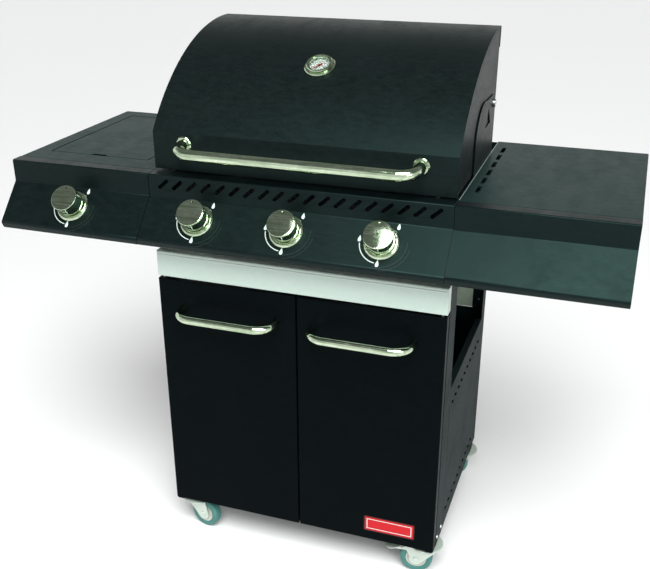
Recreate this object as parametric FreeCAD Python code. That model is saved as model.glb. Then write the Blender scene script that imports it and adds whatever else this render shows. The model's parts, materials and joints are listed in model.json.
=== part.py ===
import FreeCAD, Part
import math
import os

# A gas barbecue grill: hood over a firebox with three burners, a side burner under a lid,
# a side shelf, and a cabinet with two doors on four swivel casters.
#
# Millimetres, x to the right, y to the back, z up. While a part is drawn, y = 0 is the front
# face of the control panel's upright strip and z = 0 is the floor; DEPTH_CENTRE then moves
# every part forward, so the origin is on the floor under the middle of the bounding box.

Vector = FreeCAD.Vector
X_AXIS = Vector(1, 0, 0)
Y_AXIS = Vector(0, 1, 0)
Z_AXIS = Vector(0, 0, 1)

# ---------------------------------------------------------------- driving dimensions
WIDTH = 1218.0             # over both side shelves
SHELF_TOP = 842.0
CABINET = 596.0            # width of the cabinet over its posts
DEPTH_CENTRE = 205.54       # middle of the whole grill, behind the control panel's face
SHEET = 1.5                # sheet metal of the cart and the hood
THIN = 1.2                 # sheet metal of shelves and doors

# control panel: upright strip, then a sloping strip that ends in a rolled lip
CREASE_Z = 798.0
LIP_Y = -64.0
LIP_Z = 729.0
PANEL_END = 299.5          # half width of the centre panel
PANEL_SEAM = 1.0           # gap between the centre panel and the shelf panels
PANEL_ANGLE = math.degrees(math.atan2(CREASE_Z - LIP_Z, -LIP_Y))

# knobs, down the sloping strip
KNOB_DROP = 40.5
KNOB_HEIGHT = 38.5           # face of the cap over the strip
BURNER_PITCH = 182.0
BURNER_MIDDLE = -4.5
SIDE_BURNER_X = -459.5
SIDE_BURNER_Y = 250.0

# hood
HOOD_HALF = 297.5
HOOD_FRONT = 28.0
HOOD_BOTTOM = 846.0
HOOD_REAR = 391.0
CURVE_Y = 380.0            # centre of the hood's curve
CURVE_Z = 645.0
CURVE_R = 446.0
HOOD_LIP_Z = 1050.0        # lower end of the hood's rear lip
PIVOT_Y = 348.0
PIVOT_Z = 947.0
DIAL_TILT = 29.6           # thermometer, degrees forward of upright
DIAL_X = -3.0

# cabinet
DOOR_FRONT = 3.0
DOOR_DEPTH = 19.0
DOOR_BOTTOM = 79.5
DOOR_TOP = 623.0
RAIL_BOTTOM = 628.0
RAIL_TOP = 682.0
POST_FRONT = 28.0
POST_REAR = 471.0
FLOOR_Z = 77.0             # underside of the cabinet floor
SIDE_TOP = 427.0           # upper edge of the side panels
HINGE_X = 288.0
HINGE_Y = 12.5

# side shelves
SHELF_INNER = 299.5
SHELF_REAR = 456.0
SHELF_SKIRT = 44.0
SHELF_FRONT = 29.0
LID = (-572.0, -346.5, 83.0, 414.0)      # side burner lid: x from, to, y from, to
LID_PIVOT_Y = 409.0
LID_PIVOT_Z = 838.0

# firebox
FIREBOX_HALF = 290.0
FIREBOX_FRONT = 50.0
FIREBOX_REAR = 386.0
FIREBOX_BOTTOM = 692.0
RIM_Z = 836.0
BURNER_Z = 740.0

# casters
WHEEL_R = 35.0
TRAIL = 20.0
FORK_TOP = 73.2
PEDAL_PIN = (50.0, 62.0)                 # along the trail, height
CASTERS = {                              # swivel axis x and y, then the way the wheel trails
    "front_left": (-258.0, 36.0, -12.0),
    "front_right": (276.0, 41.0, 187.0),
    "rear_left": (-268.0, 424.0, 200.0),
    "rear_right": (279.0, 420.0, 187.0),
}
BRAKED = ("front_right", "rear_right")

KNOB_X = {
    "side_burner_knob": SIDE_BURNER_X,
    "left_burner_knob": BURNER_MIDDLE - BURNER_PITCH,
    "middle_burner_knob": BURNER_MIDDLE,
    "right_burner_knob": BURNER_MIDDLE + BURNER_PITCH,
}
BURNER_X = [BURNER_MIDDLE + BURNER_PITCH * step for step in (-1, 0, 1)]


# ---------------------------------------------------------------- drawing helpers
def box(x0, x1, y0, y1, z0, z1):
    return Part.makeBox(x1 - x0, y1 - y0, z1 - z0, Vector(x0, y0, z0))


def rod(start, end, radius):
    start = Vector(*start)
    end = Vector(*end)
    return Part.makeCylinder(radius, (end - start).Length, start, end - start)


def fused(shapes):
    return shapes[0].multiFuse(shapes[1:]).removeSplitter()


def group(shapes):
    return Part.makeCompound(shapes)


def mirrored(shape):
    return shape.mirror(Vector(0, 0, 0), X_AXIS)


def pair(shape):
    """A shape drawn on the right, with its mirror image on the left."""
    return group([shape, mirrored(shape)])


def rounded_edges(points, radii):
    """Straight runs joined by tangent arcs, one radius for each inner corner."""
    edges = []
    start = points[0]
    for before, corner, after, radius in zip(points, points[1:], points[2:], radii):
        back = (before - corner).normalize()
        ahead = (after - corner).normalize()
        half = back.getAngle(ahead) / 2
        trim = radius / math.tan(half)
        first = corner + back * trim
        last = corner + ahead * trim
        middle = corner + (back + ahead).normalize() * (radius / math.sin(half) - radius)
        if (first - start).Length > 1e-6:
            edges.append(Part.LineSegment(start, first).toShape())
        edges.append(Part.Arc(first, middle, last).toShape())
        start = last
    edges.append(Part.LineSegment(start, points[-1]).toShape())
    return edges


def bent_sheet(outline, radii, thickness, x0, x1):
    """A sheet bent along an outline of (y, z) points, as wide as x0 to x1.

    The thickness lies to the left of the path for someone who looks along -x.
    """
    points = [Vector(x0, y, z) for y, z in outline]
    runs = [(b - a).normalize() for a, b in zip(points, points[1:])]
    sides = [X_AXIS.cross(run) for run in runs]
    inner = [points[0] + sides[0] * thickness]
    inner_radii = []
    for corner, before, after, run, turn, radius in zip(
            points[1:-1], sides, sides[1:], runs, runs[1:], radii):
        inner.append(corner + (before + after) * (thickness / (1 + before.dot(after))))
        left_turn = run.cross(turn).dot(X_AXIS) > 0
        inner_radii.append(radius - thickness if left_turn else radius + thickness)
    inner.append(points[-1] + sides[-1] * thickness)
    edges = rounded_edges(points, radii) + rounded_edges(inner, inner_radii)
    edges.append(Part.LineSegment(points[0], inner[0]).toShape())
    edges.append(Part.LineSegment(points[-1], inner[-1]).toShape())
    face = Part.Face(Part.Wire(Part.__sortEdges__(edges)))
    return face.extrude(Vector(x1 - x0, 0, 0))


def side_plate(outline, x0, x1):
    """A flat plate across x with an outline of (y, z) points."""
    points = [Vector(x0, y, z) for y, z in outline]
    face = Part.Face(Part.makePolygon(points + points[:1]))
    return face.extrude(Vector(x1 - x0, 0, 0))


def tube(points, bend, radius):
    """A round bar or tube along straight runs joined by bends of one radius."""
    points = [Vector(*point) for point in points]
    path = Part.Wire(rounded_edges(points, [bend] * (len(points) - 2)))
    start = Part.Circle(points[0], points[1] - points[0], radius)
    profile = Part.Wire(start.toShape())
    return path.makePipeShell([profile], True, False)


def long_hole(first, second, radius, depth):
    """A slot with round ends from one point to another, cut through along depth."""
    first = Vector(*first)
    second = Vector(*second)
    depth = Vector(*depth)
    along = (second - first).normalize()
    side = along.cross(depth).normalize() * radius
    tip = along * radius
    edges = [
        Part.LineSegment(first + side, second + side).toShape(),
        Part.Arc(second + side, second + tip, second - side).toShape(),
        Part.LineSegment(second - side, first - side).toShape(),
        Part.Arc(first - side, first - tip, first + side).toShape(),
    ]
    return Part.Face(Part.Wire(edges)).extrude(depth)


def turned(profile):
    """A solid turned about the z axis from an outline of (radius, height) points."""
    points = [Vector(r, 0, z) for r, z in profile]
    face = Part.Face(Part.makePolygon(points + points[:1]))
    return face.revolve(Vector(0, 0, 0), Z_AXIS, 360)


def rounded_upright(shape, radius, choose):
    """Rounds the upright edges whose middle passes the test."""
    edges = []
    for edge in shape.Edges:
        low, high = [vertex.Point for vertex in edge.Vertexes][:2]
        upright = abs(low.x - high.x) < 1e-6 and abs(low.y - high.y) < 1e-6
        if upright and choose(low):
            edges.append(edge)
    return shape.makeFillet(radius, edges)


def pan(x0, x1, y0, y1, z0, z1, wall, corner, open_side):
    """A folded tray with round corners; open_side is top or bottom."""
    outer = rounded_upright(box(x0, x1, y0, y1, z0, z1), corner, lambda p: True)
    closed_z = z0 if open_side == "top" else z1
    rim = [edge for edge in outer.Edges if abs(edge.BoundBox.ZMin - closed_z) + abs(edge.BoundBox.ZMax - closed_z) < 1e-5]
    outer = outer.makeFillet(1.6, rim)
    inside = [x0 + wall, x1 - wall, y0 + wall, y1 - wall, z0 + wall, z1 - wall]
    if open_side == "top":
        inside[5] = z1
    if open_side == "bottom":
        inside[4] = z0
    inner = rounded_upright(box(*inside), max(corner - wall, 0.4), lambda p: True)
    return outer.cut(inner)


def on_panel(shape, x):
    """Places a shape drawn about z, base at z = 0, on the sloping strip at a knob's place."""
    slope = math.radians(PANEL_ANGLE)
    shape = shape.copy()
    shape.rotate(Vector(0, 0, 0), X_AXIS, PANEL_ANGLE)
    shape.translate(Vector(x, -KNOB_DROP * math.cos(slope), CREASE_Z - KNOB_DROP * math.sin(slope)))
    return shape


def on_hood(shape):
    """Places a shape drawn about z, base at z = 0, at the thermometer's place on the hood."""
    tilt = math.radians(DIAL_TILT)
    shape = shape.copy()
    shape.rotate(Vector(0, 0, 0), X_AXIS, DIAL_TILT)
    shape.translate(Vector(DIAL_X, CURVE_Y - CURVE_R * math.sin(tilt), CURVE_Z + CURVE_R * math.cos(tilt)))
    return shape


def on_caster(shape, name):
    """Places a shape drawn with the swivel axis on z and the wheel towards +x."""
    x, y, yaw = CASTERS[name]
    shape = shape.copy()
    shape.rotate(Vector(0, 0, 0), Z_AXIS, yaw)
    shape.translate(Vector(x, y, 0))
    return shape


# ---------------------------------------------------------------- control panel and shelves
PANEL_OUTLINE = [(46, SHELF_TOP), (0, SHELF_TOP), (0, CREASE_Z), (LIP_Y, LIP_Z), (LIP_Y + 7, LIP_Z - 14),
                 (LIP_Y + 22, LIP_Z - 14)]
PANEL_RADII = [3.0, 3.0, 7.0, 6.0]
VENT_COUNT = 19
VENT_PITCH = 29.8
VENT_RADIUS = 3.5
VENT_Z = 823.5


def control_panel():
    panel = bent_sheet(PANEL_OUTLINE, PANEL_RADII, THIN, -PANEL_END, PANEL_END)
    cuts = []
    for step in range(VENT_COUNT):
        x = (step - (VENT_COUNT - 1) / 2) * VENT_PITCH
        cuts.append(long_hole((x - 8, -2, VENT_Z - 7), (x + 8, -2, VENT_Z + 7), VENT_RADIUS, (0, 6, 0)))
    for name, x in KNOB_X.items():
        if name != "side_burner_knob":
            cuts.append(on_panel(rod((0, 0, -6), (0, 0, 6), 6), x))
    return panel.cut(group(cuts))


def shelf_fascia():
    """The panel in front of the right shelf, closed at its outer end."""
    outline = [(SHELF_FRONT - 1, SHELF_TOP)] + PANEL_OUTLINE[1:]
    start = PANEL_END + PANEL_SEAM
    end = WIDTH / 2
    front = bent_sheet(outline, PANEL_RADII, THIN, start, end)
    back = [(LIP_Y + 22, LIP_Z - 14 + THIN), (SHELF_FRONT - 1, CREASE_Z - 40), (SHELF_FRONT - 1, SHELF_TOP - THIN)]
    inside = [(THIN, SHELF_TOP - THIN), (THIN, CREASE_Z), (LIP_Y + THIN * 1.4, LIP_Z),
              (LIP_Y + 7.5, LIP_Z - 14 + THIN)]
    cap = side_plate(back + inside, end - THIN, end)
    return fused([front, cap])


def shelf_fascias():
    right = shelf_fascia()
    left = mirrored(right).cut(on_panel(rod((0, 0, -6), (0, 0, 6), 6), SIDE_BURNER_X))
    return group([left, right])


def plain_shelf(inner, outer):
    low, high = min(inner, outer), max(inner, outer)
    return pan(low, high, SHELF_FRONT, SHELF_REAR, SHELF_TOP - SHELF_SKIRT, SHELF_TOP, THIN, 4.0, "bottom")


def left_shelf():
    shelf = plain_shelf(-SHELF_INNER, -WIDTH / 2)
    x0, x1, y0, y1 = LID
    gap = 2.0
    opening = box(x0 - gap, x1 + gap, y0 - gap, y1 + gap, SHELF_TOP - 5, SHELF_TOP + 5)
    return shelf.cut(rounded_upright(opening, 5.0, lambda p: True))


def right_shelf():
    """Plain shelf with a row of slots beside the hood and a closed channel under them."""
    shelf = plain_shelf(SHELF_INNER, WIDTH / 2)
    slots = []
    for step in range(6):
        y = 105 + 56.4 * step
        slot = box(317.5, 325.5, y - 20, y + 20, SHELF_TOP - 5, SHELF_TOP + 5)
        slots.append(rounded_upright(slot, 1.5, lambda p: True))
    under = SHELF_TOP - THIN
    channel = box(308, 338, 70, 425, under - 12, under)
    channel = channel.cut(box(308 + THIN, 338 - THIN, 70 + THIN, 425 - THIN, under - 12 + THIN, under + 1))
    return fused([shelf, channel]).cut(group(slots))


# ---------------------------------------------------------------- side burner
def side_burner_bowl():
    """Pressed tray that hangs under the opening, with a floor for the pan support."""
    x0, x1, y0, y1 = LID
    under = SHELF_TOP - THIN
    well = pan(x0 - 4, x1 + 4, y0 - 4, y1 + 4.5, 770, under, SHEET, 9.0, "top")
    flange = box(x0 - 16, x1 + 16, y0 - 16, y1 + 16, under - SHEET, under)
    hole = rounded_upright(box(x0 - 4, x1 + 4, y0 - 4, y1 + 4.5, 765, under + 5), 9.0, lambda p: True)
    bowl = fused([well, flange.cut(hole)])
    pipe_hole = rod((SIDE_BURNER_X, SIDE_BURNER_Y, 760), (SIDE_BURNER_X, SIDE_BURNER_Y, 775), 12)
    pivot = rod((x0 - 10, LID_PIVOT_Y, LID_PIVOT_Z), (x1 + 10, LID_PIVOT_Y, LID_PIVOT_Z), 2)
    return bowl.cut(pipe_hole).cut(pivot)


def side_burner_head():
    """Venturi cup with a flame ring and a cap on top."""
    body = turned([(0, 771.5), (22, 771.5), (22, 778), (50, 792), (50, 806), (0, 806)])
    cap = turned([(0, 806), (46, 806), (46, 809), (40, 813), (12, 815), (0, 815)])
    neck = rod((0, 0, 764), (0, 0, 771.5), 11.8)
    head = fused([body, cap, neck])
    ports = []
    for step in range(24):
        port = box(42, 54, -1.2, 1.2, 798, 802)
        port.rotate(Vector(0, 0, 0), Z_AXIS, 15 * step)
        ports.append(port)
    head = head.cut(group(ports))
    head.translate(Vector(SIDE_BURNER_X, SIDE_BURNER_Y, 0))
    return head


def side_burner_grate():
    """Cast pan support: a frame with four fingers towards the flame, on four legs."""
    x0, x1, y0, y1 = LID[0] + 10, LID[1] - 10, LID[2] + 60, LID[3] - 58
    top, low = 834, 824
    frame = box(x0, x1, y0, y1, low, top).cut(box(x0 + 8, x1 - 8, y0 + 8, y1 - 8, low - 1, top + 1))
    pieces = [frame]
    for x in (x0, x1 - 8):
        for y in (y0, y1 - 8):
            pieces.append(box(x, x + 8, y, y + 8, 770 + SHEET, low + 2))
    for turn in range(4):
        reach = (x1 - x0) / 2 if turn % 2 == 0 else (y1 - y0) / 2
        finger = box(22, reach - 2, -3.5, 3.5, low, top)
        finger.rotate(Vector(0, 0, 0), Z_AXIS, 90 * turn)
        finger.translate(Vector((x0 + x1) / 2, (y0 + y1) / 2, 0))
        pieces.append(finger)
    return fused(pieces)


def side_burner_lid():
    x0, x1, y0, y1 = LID
    lid = pan(x0, x1, y0, y1, SHELF_TOP - 15, SHELF_TOP, THIN, 3.5, "bottom")
    notch_x = SIDE_BURNER_X
    notch = long_hole((notch_x - 10, y0, SHELF_TOP - 20), (notch_x + 10, y0, SHELF_TOP - 20), 7.5, (0, 0, 30))
    pivot = rod((x0 - 10, LID_PIVOT_Y, LID_PIVOT_Z), (x1 + 10, LID_PIVOT_Y, LID_PIVOT_Z), 2.06)
    return lid.cut(notch).cut(pivot)


# ---------------------------------------------------------------- hood
def hood_outline(inset):
    """The hood's front, curve and top as edges, moved inwards by inset, with both ends."""
    radius = CURVE_R - inset
    front = HOOD_FRONT + inset
    crease = CURVE_Z + math.sqrt(radius ** 2 - (CURVE_Y - front) ** 2)
    start = Vector(0, front, HOOD_BOTTOM + inset)
    bend = Vector(0, front, crease)
    top = Vector(0, CURVE_Y, CURVE_Z + radius)
    angle = (math.asin((CURVE_Y - front) / radius)) / 2
    middle = Vector(0, CURVE_Y - radius * math.sin(angle), CURVE_Z + radius * math.cos(angle))
    corner = Vector(0, HOOD_REAR - inset, CURVE_Z + radius)
    edges = [
        Part.LineSegment(start, bend).toShape(),
        Part.Arc(bend, middle, top).toShape(),
        Part.LineSegment(top, corner).toShape(),
    ]
    return start, edges, corner


def hood_shell():
    """Front band, curved top, rear lip and the hem along the lower front edge."""
    start, outer, corner = hood_outline(0)
    inner_start, inner, inner_corner = hood_outline(SHEET)
    inner_start.z = HOOD_BOTTOM
    lip = Vector(0, HOOD_REAR, HOOD_LIP_Z)
    inner_lip = Vector(0, HOOD_REAR - SHEET, HOOD_LIP_Z)
    bend = inner[0].Vertexes[1].Point
    edges = outer + inner[1:]
    for first, second in ((inner_start, bend), (corner, lip), (lip, inner_lip), (inner_lip, inner_corner),
                          (inner_start, start)):
        edges.append(Part.LineSegment(first, second).toShape())
    skin = Part.Face(Part.Wire(Part.__sortEdges__(edges))).extrude(Vector(2 * HOOD_HALF, 0, 0))
    skin.translate(Vector(-HOOD_HALF, 0, 0))
    hem = box(-HOOD_HALF, HOOD_HALF, HOOD_FRONT, HOOD_FRONT + 14, HOOD_BOTTOM, HOOD_BOTTOM + SHEET)
    shell = fused([skin, hem])
    return shell.cut(on_hood(rod((0, 0, -20), (0, 0, 20), 4)))


def hood_ends():
    """Flat end plates inside the shell, rounded about the hinge at their lower rear corner."""
    x = HOOD_HALF - 1.0
    start, edges, corner = hood_outline(SHEET)
    radius = PIVOT_Z - HOOD_BOTTOM - SHEET
    reach = corner.y - PIVOT_Y
    turn = math.asin(reach / radius)
    rear = Vector(0, corner.y, PIVOT_Z - radius * math.cos(turn))
    middle = Vector(0, PIVOT_Y + radius * math.sin(turn / 2), PIVOT_Z - radius * math.cos(turn / 2))
    low = Vector(0, PIVOT_Y, PIVOT_Z - radius)
    edges.append(Part.LineSegment(corner, rear).toShape())
    edges.append(Part.Arc(rear, middle, low).toShape())
    edges.append(Part.LineSegment(low, start).toShape())
    plate = Part.Face(Part.Wire(Part.__sortEdges__(edges))).extrude(Vector(-SHEET, 0, 0))
    plate.translate(Vector(x, 0, 0))
    plate = plate.cut(rod((x - 10, PIVOT_Y, PIVOT_Z), (x + 10, PIVOT_Y, PIVOT_Z), 4.06))
    return pair(plate)


HANDLE_X = 231.5
HANDLE_Z = 898.0
HANDLE_OUT = -21.0


def hood_handle():
    """Chromed tube with a turned rosette at each foot."""
    feet = [(-HANDLE_X, HOOD_FRONT - 6, HANDLE_Z), (HANDLE_X, HOOD_FRONT - 6, HANDLE_Z)]
    bar = [(-HANDLE_X, HANDLE_OUT, HANDLE_Z - 6), (HANDLE_X, HANDLE_OUT, HANDLE_Z - 6)]
    pieces = [tube([feet[0], bar[0], bar[1], feet[1]], 32, 11)]
    rosette = turned([(0, 0), (15.5, 0), (15.5, 3), (13.5, 5), (13.5, 6), (0, 6)])
    rosette.rotate(Vector(0, 0, 0), X_AXIS, 90)
    for x in (-HANDLE_X, HANDLE_X):
        foot = rosette.copy()
        foot.translate(Vector(x, HOOD_FRONT, HANDLE_Z))
        pieces.append(foot)
    return group(pieces)


def thermometer_bezel():
    """Stepped chrome case on the hood's curve, with the probe inside the hood."""
    case = turned([(0, -3), (30, -3), (30, 4), (28.5, 5.5), (25.5, 5.5), (25.5, 9.5), (24, 11), (21, 11),
                   (21, 9), (19.6, 9), (19.6, 2), (0, 2)])
    curve = rod((-200, CURVE_Y, CURVE_Z), (200, CURVE_Y, CURVE_Z), CURVE_R)
    case = on_hood(case).cut(curve)
    probe = on_hood(rod((0, 0, -62), (0, 0, 1), 4))
    spindle = on_hood(rod((0, 0, -4), (0, 0, 4), 0.86))
    return fused([case, probe]).cut(spindle)


def thermometer_dial():
    return on_hood(turned([(0.86, 2), (19.3, 2), (19.3, 2.8), (0.86, 2.8)]))


def thermometer_needle():
    hub = turned([(0, 4.2), (2.4, 4.2), (2.4, 5.8), (0, 5.8)])
    spindle = rod((0, 0, -3), (0, 0, 4.4), 0.8)
    pointer = Part.Face(Part.makePolygon([Vector(-1.3, -6, 4.5), Vector(1.3, -6, 4.5), Vector(0.4, 16, 4.5),
                                          Vector(-0.4, 16, 4.5), Vector(-1.3, -6, 4.5)])).extrude(Vector(0, 0, 0.8))
    needle = fused([hub, spindle, pointer])
    needle.rotate(Vector(0, 0, 0), Z_AXIS, 135)
    return on_hood(needle)


def thermometer_glass():
    return on_hood(turned([(0, 9), (21, 9), (21, 10), (0, 10)]))


def hood_end_plates():
    """Fixed plates outside the hood: arched front, a window, and the hinge bolt at the rear."""
    low = 812.0
    x = CABINET / 2
    points = [Vector(x, y, z) for y, z in ((172, low), (172, 905), (269, 967), (350, 965), (372, 940), (372, low))]
    edges = [
        Part.LineSegment(points[0], points[1]).toShape(),
        Part.Arc(points[1], Vector(x, 196, 949), points[2]).toShape(),
        Part.LineSegment(points[2], points[3]).toShape(),
        Part.Arc(points[3], Vector(x, 366, 957), points[4]).toShape(),
        Part.LineSegment(points[4], points[5]).toShape(),
        Part.LineSegment(points[5], points[0]).toShape(),
    ]
    plate = Part.Face(Part.Wire(edges)).extrude(Vector(SHEET, 0, 0))
    window = side_plate([(267, 914), (322, 914), (298, 948)], x - 5, x + 5)
    bolt = rod((x - 5, PIVOT_Y, PIVOT_Z), (x + 5, PIVOT_Y, PIVOT_Z), 4)
    return pair(plate.cut(window).cut(bolt))


# ---------------------------------------------------------------- firebox and cooking parts
def firebox():
    """Tub with a sloping floor to a grease slot, and a rim that rests on the posts."""
    half = FIREBOX_HALF
    front, rear = FIREBOX_FRONT, FIREBOX_REAR
    outline = [(-half, RIM_Z + 2), (-half, 722), (-70, FIREBOX_BOTTOM), (70, FIREBOX_BOTTOM), (half, 722),
               (half, RIM_Z + 2)]
    inner = [(-half + 2, RIM_Z + 3), (-half + 2, 723.5), (-69.7, FIREBOX_BOTTOM + 2), (69.7, FIREBOX_BOTTOM + 2),
             (half - 2, 723.5), (half - 2, RIM_Z + 3)]
    outer_face = Part.Face(Part.makePolygon([Vector(x, front, z) for x, z in outline + outline[:1]]))
    inner_face = Part.Face(Part.makePolygon([Vector(x, front + 2, z) for x, z in inner + inner[:1]]))
    tub = outer_face.extrude(Vector(0, rear - front, 0))
    tub = tub.cut(inner_face.extrude(Vector(0, rear - front - 4, 0)))
    rim = box(-CABINET / 2, CABINET / 2, HOOD_FRONT + 3, 395, RIM_Z, RIM_Z + 2)
    rim = rim.cut(box(-half + 2, half - 2, front + 2, rear - 2, RIM_Z - 5, RIM_Z + 5))
    ledge = box(-half + 1, half - 1, front + 1, rear - 1, 824, 826)
    ledge = ledge.cut(box(-half + 12, half - 12, front + 12, rear - 12, 820, 830))
    tub = fused([tub, rim, ledge])
    cuts = [box(-40, 40, 130, 310, FIREBOX_BOTTOM - 5, FIREBOX_BOTTOM + 5)]
    for x in BURNER_X:
        cuts.append(rod((x, front - 5, BURNER_Z), (x, front + 5, BURNER_Z), 14))
    return tub.cut(group(cuts))


def back_guard():
    """Upright sheet behind the cooking chamber, inside the swing of the hood's rear lip."""
    guard = box(-292, 292, 393, 393 + SHEET, RIM_Z + 2, 1036)
    fold = box(-292, 292, 382, 393, 1036 - SHEET, 1036)
    slots = [box(x - 22, x + 22, 380, 400, 1000, 1006) for x in range(-240, 241, 60)]
    return fused([guard, fold]).cut(group(slots))


def hood_bumpers():
    bumper = rod((262, 36, SHELF_TOP), (262, 36, HOOD_BOTTOM), 5)
    return pair(bumper)


def burner_tubes():
    """Three straight tube burners with a row of ports on each side and an open mouth in front."""
    tubes = []
    for x in BURNER_X:
        tube_wall = rod((x, 38, BURNER_Z), (x, 380, BURNER_Z), 14)
        bore = rod((x, 37, BURNER_Z), (x, 378, BURNER_Z), 12.8)
        ports = []
        for step in range(30):
            y = 80 + step * 9.6
            ports.append(rod((x - 20, y, BURNER_Z + 8), (x + 20, y, BURNER_Z + 8), 1.3))
        tubes.append(tube_wall.cut(bore).cut(group(ports)))
    return group(tubes)


def heat_tents():
    """Bent covers over the burners, held between the firebox's front and rear walls."""
    tents = []
    for x in BURNER_X:
        outline = [(-44, 776), (0, 806), (44, 776), (44, 774), (0, 804), (-44, 774)]
        face = Part.Face(Part.makePolygon([Vector(x + dx, FIREBOX_FRONT + 2, z) for dx, z in outline + outline[:1]]))
        tent = face.extrude(Vector(0, FIREBOX_REAR - FIREBOX_FRONT - 4, 0))
        slots = [box(x - 50, x + 50, y - 3, y + 3, 786, 792) for y in range(100, 361, 40)]
        tents.append(tent.cut(group(slots)))
    return group(tents)


def cooking_grates():
    """Two cast grates side by side: a frame with bars that run front to back."""
    grates = []
    y0, y1 = FIREBOX_FRONT + 3, FIREBOX_REAR - 3
    for x0, x1 in ((-287.0, -1.0), (1.0, 287.0)):
        frame = box(x0, x1, y0, y1, 826, 836).cut(box(x0 + 8, x1 - 8, y0 + 10, y1 - 10, 825, 840))
        pieces = [frame]
        for step in range(1, 14):
            x = x0 + (x1 - x0) * step / 14
            pieces.append(box(x - 3.2, x + 3.2, y0 + 4, y1 - 4, 828, 838))
        pieces.append(box(x0 + 4, x1 - 4, (y0 + y1) / 2 - 5, (y0 + y1) / 2 + 5, 826, 832))
        grates.append(fused(pieces))
    return group(grates)


RACK_HALF = 291.0


def warming_rack():
    """Wire rack over the rear of the cooking area, on four wire legs."""
    z = 934.0
    pieces = []
    for y in (262, 300, 338, 376):
        pieces.append(rod((-RACK_HALF, y, z), (RACK_HALF, y, z), 2.5))
    for step in range(29):
        x = -RACK_HALF + 2 * RACK_HALF * step / 28
        pieces.append(rod((x, 258, z + 3), (x, 380, z + 3), 1.6))
    for x in (-RACK_HALF, RACK_HALF):
        for y in (262, 376):
            pieces.append(rod((x, y, RIM_Z + 2), (x, y, z), 2.5))
    return fused(pieces)


# ---------------------------------------------------------------- gas parts
def knob_bezels():
    bezel = turned([(7, 0), (34, 0), (34, 1.5), (32, 4), (30, 5.2), (27.5, 5.2), (26.5, 4.4), (7, 4.4)])
    return group([on_panel(bezel, x) for x in KNOB_X.values()])


def knob(x):
    """Tall chrome knob with its spindle; a dimple at the top of the slightly domed face is its pointer."""
    top = KNOB_HEIGHT
    body = turned([(0, 5.6), (25, 5.6), (26, 8), (26.6, top - 3.4), (27, top - 2.6), (27, top - 1.8),
                   (26.3, top - 1), (18, top - 0.35), (9, top - 0.08), (0, top)])
    spindle = rod((0, 0, -27), (0, 0, 6), 4)
    dimple = rod((0, 20.5, top - 3), (0, 20.5, top + 2), 1.9)
    return on_panel(fused([body, spindle]).cut(dimple), x)


MANIFOLD_Y = 0.0
MANIFOLD_Z = 712.0
MANIFOLD_R = 9.0


def gas_valves():
    """Valve bodies clamped on the manifold behind each knob, each with a jet towards the back."""
    valves = []
    manifold = rod((-500, MANIFOLD_Y, MANIFOLD_Z), (260, MANIFOLD_Y, MANIFOLD_Z), MANIFOLD_R)
    for x in KNOB_X.values():
        barrel = on_panel(rod((0, 0, -46), (0, 0, -14), 11), x)
        saddle = box(x - 9, x + 9, -8, 9, 712, 734)
        jet = rod((x, 2, BURNER_Z), (x, 48, BURNER_Z), 5)
        bore = on_panel(rod((0, 0, -30), (0, 0, 0), 4.06), x)
        valves.append(fused([barrel, saddle, jet]).cut(bore).cut(manifold))
    return group(valves)


def gas_pipework():
    """Manifold pipe with its inlet fitting at the right, and the side burner's supply pipe."""
    manifold = rod((-480, MANIFOLD_Y, MANIFOLD_Z), (228, MANIFOLD_Y, MANIFOLD_Z), MANIFOLD_R)
    inlet = fused([rod((228, MANIFOLD_Y, MANIFOLD_Z), (246, MANIFOLD_Y, MANIFOLD_Z), 11),
                   rod((246, MANIFOLD_Y, MANIFOLD_Z), (266, MANIFOLD_Y, MANIFOLD_Z), 7)])
    inlet = inlet.cut(rod((244, MANIFOLD_Y, MANIFOLD_Z), (270, MANIFOLD_Y, MANIFOLD_Z), 4))
    supply = tube([(SIDE_BURNER_X, 48, BURNER_Z), (SIDE_BURNER_X, SIDE_BURNER_Y, BURNER_Z),
                   (SIDE_BURNER_X, SIDE_BURNER_Y, 764)], 20, 8)
    return group([manifold, inlet, supply])


# ---------------------------------------------------------------- cabinet
def bottom_panel():
    """Cabinet floor with raised edges and the two lower hinge tabs of the doors."""
    half = CABINET / 2
    pieces = [box(-half, half, POST_FRONT, POST_REAR, FLOOR_Z, FLOOR_Z + SHEET)]
    for side in (-1, 1):
        edge = sorted((side * (half - 2 * SHEET), side * (half - SHEET)))
        pieces.append(box(edge[0], edge[1], 92, 430, FLOOR_Z, FLOOR_Z + 22))
        tab = sorted((side * (HINGE_X - 8), side * (HINGE_X + 8)))
        pieces.append(box(tab[0], tab[1], HINGE_Y - 8, POST_FRONT + 1, FLOOR_Z, FLOOR_Z + SHEET))
    floor = fused(pieces)
    for x in (-HINGE_X, HINGE_X):
        floor = floor.cut(rod((x, HINGE_Y, FLOOR_Z - 5), (x, HINGE_Y, FLOOR_Z + 5), 3))
    rim = rod((0, 250, FLOOR_Z - 5), (0, 250, FLOOR_Z + 5), 100)
    return floor.cut(rim)


def front_post():
    """Right front post: side flange and the flange behind the door."""
    half = CABINET / 2
    top = RIM_Z
    side = box(half - SHEET, half, POST_FRONT, 89, FLOOR_Z + SHEET, top)
    front = box(half - 30, half, POST_FRONT, POST_FRONT + SHEET, FLOOR_Z + SHEET, top)
    post = rounded_upright(fused([side, front]), 1.2, lambda p: p.x > half - 0.1 and p.y < POST_FRONT + 0.1)
    return post


def rear_post():
    half = CABINET / 2
    side = box(half - SHEET, half, 433, POST_REAR, FLOOR_Z + SHEET, RIM_Z)
    rear = box(half - 30, half, POST_REAR - SHEET, POST_REAR, FLOOR_Z + SHEET, RIM_Z)
    return fused([side, rear])


POST_SCREWS = [(y, 97.0) for y in (36.0, 72.0)]
REAR_SCREWS = [(283.0, z) for z in (110.0, 400.0, 460.0, 625.0)]


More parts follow.
